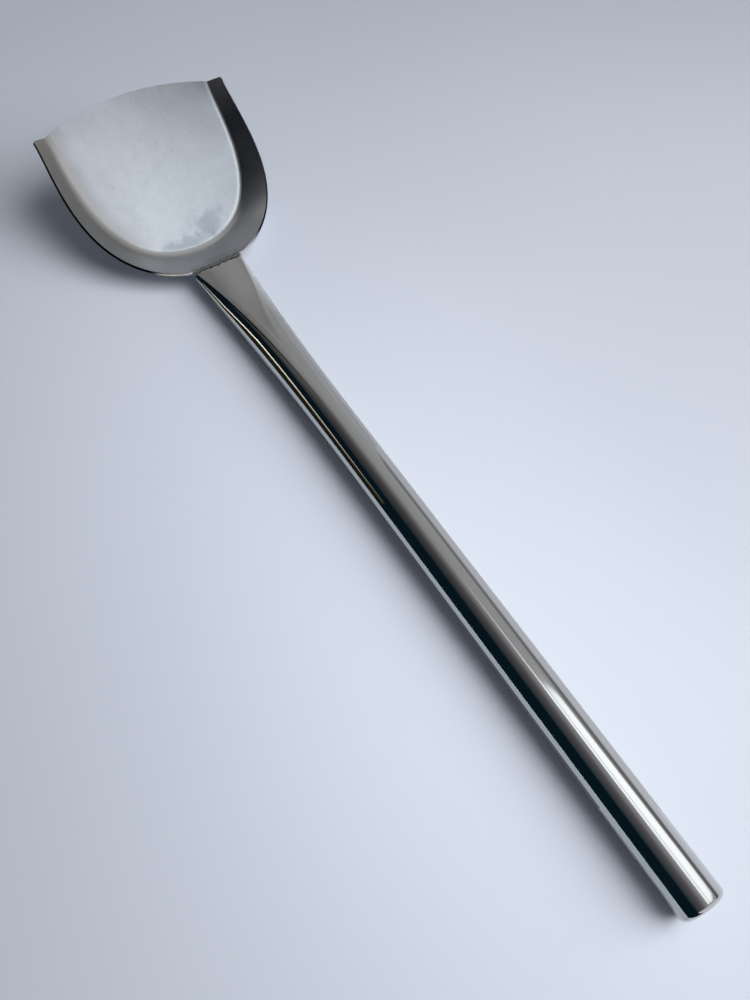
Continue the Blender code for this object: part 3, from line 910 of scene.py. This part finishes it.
def mirrorOnly(item, colors):   # seen in the metal, and by nothing else
    layer = item.data.attributes.new("light", "FLOAT_COLOR", "POINT")
    layer.data.foreach_set("color", [value for color in colors for value in (*color, 1.0)])
    item.data.materials.append(mirrorLight)
    item.visible_camera = False
    item.visible_diffuse = False
    item.visible_shadow = False
    item.visible_transmission = False


def addCard(name, corners, lights):
    item = addObject(name, corners, [(0, 1, 2, 3)])
    mirrorOnly(item, lights if len(lights) == 4 else lights * 4)


def cardCorners(centre, facing, size):   # "along" runs towards +x or +y, "across" upwards or towards +y
    facing = Vector(facing).normalized()
    along = Vector((1, 0, 0))
    if abs(facing.z) < 0.5:
        along = facing.cross(Vector((0, 0, 1)))
        if along.x + along.y < 0:
            along = -along
    across = facing.cross(along) * size[1] / 2
    if across.y + across.z < 0:
        across = -across
    along = along * size[0] / 2
    low = Vector(centre) - across
    high = Vector(centre) + across
    return [low - along, low + along, high + along, high - along]


for name, card in cards.items():
    addCard(name, cardCorners(card["centre"], card["facing"], card["size"]), card["lights"])
for name, (height, corners, lights) in slanted.items():
    addCard(name, [(x, y, height) for x, y in corners], lights)


def buildGoldEdge():
    rings = []
    colors = []
    half = goldEdge["width"] / 2
    for x, height, light in goldEdge["places"]:
        y = goldEdge["y"] - goldEdge["slant"] * (x - goldEdge["slantFrom"])
        bright = [light * share for share in goldEdge["tint"]]
        steps = [(height - depth, color) for depth, color in goldEdge["below"]]
        steps.append((height - half - goldEdge["border"], goldEdge["borderColor"]))
        steps += [(height - half, bright), (height + half, bright)]
        rings.append([(x, y, max(goldEdge["lowest"], z)) for z, color in steps])
        colors += [color for z, color in steps]
    verts, faces = skinRings(rings, closed=False)
    mirrorOnly(addObject("goldEdge", verts, faces), colors)


buildGoldEdge()


def bandLight(angle, part):
    bands = room["bands"]
    for start, end in zip(bands, bands[1:]):
        if angle <= end[0]:
            share = smooth((angle - start[0]) / (end[0] - start[0]))
            return [mix(a, b, share) for a, b in zip(start[part], end[part])]


def buildRoom():
    rings = []
    colors = []
    for i in range(room["steps"] + 1):
        angle = mix(room["bands"][0][0], room["bands"][-1][0], i / room["steps"])
        y = room["radius"] * math.sin(math.radians(angle))
        z = handle["radius"] + room["radius"] * math.cos(math.radians(angle))
        rings.append([(x, y, z) for x, part in room["columns"]])
        colors += [bandLight(angle, part) for x, part in room["columns"]]
    verts, faces = skinRings(rings, closed=False)
    mirrorOnly(addObject("roomArch", verts, faces), colors)


buildRoom()

lamp = dict(place=(480, 620, 850), target=(20, 0, 0), size=(1000, 1300), power=20.0)


def addLamp():   # the window's own light, which the metal doesn't mirror
    data = bpy.data.lights.new("window", "AREA")
    data.shape = "RECTANGLE"
    data.size = lamp["size"][0] * mm
    data.size_y = lamp["size"][1] * mm
    data.energy = lamp["power"]
    item = bpy.data.objects.new("window", data)
    place = Vector(lamp["place"])
    item.location = place * mm
    item.rotation_euler = (Vector(lamp["target"]) - place).to_track_quat("-Z", "Y").to_euler()
    item.visible_glossy = False
    bpy.context.scene.collection.objects.link(item)


addLamp()

surroundings = dict(dim=(0.13, 0.135, 0.15, 1.0), seen=table["color"])   # "seen" is for the camera alone


def buildWorld():
    world = bpy.data.worlds.new("room")
    bpy.context.scene.world = world
    world.use_nodes = True
    tree = world.node_tree
    path = tree.nodes.new("ShaderNodeLightPath")
    tone = tree.nodes.new("ShaderNodeMix")
    tone.data_type = "RGBA"
    tone.inputs[6].default_value = surroundings["dim"]
    tone.inputs[7].default_value = surroundings["seen"]
    tree.links.new(path.outputs["Is Camera Ray"], tone.inputs[0])
    tree.links.new(tone.outputs[2], tree.nodes["Background"].inputs["Color"])
    tree.nodes["Background"].inputs["Strength"].default_value = 1.0


buildWorld()
print("stage set")


# Camera: the phone above the handle, looking down along it

camera = dict(
    place=(159.75, -118.75, 328.55), forward=(-0.36807, 0.30592, -0.87803),
    down=(0.74583, -0.46675, -0.47528), focal=29.52, sensor=36.0, nearest=10)


def addCamera():
    data = bpy.data.cameras.new("camera")
    data.lens = camera["focal"]
    data.sensor_width = camera["sensor"]
    data.sensor_fit = "AUTO"
    data.clip_start = camera["nearest"] * mm
    item = bpy.data.objects.new("camera", data)
    back = -Vector(camera["forward"]).normalized()
    right = (-Vector(camera["down"])).cross(back).normalized()
    up = back.cross(right)
    turned = Matrix((right, up, back)).transposed().to_4x4()
    item.matrix_world = Matrix.Translation(Vector(camera["place"]) * mm) @ turned
    bpy.context.scene.collection.objects.link(item)
    bpy.context.scene.camera = item


addCamera()
bpy.context.scene.view_settings.view_transform = "Standard"
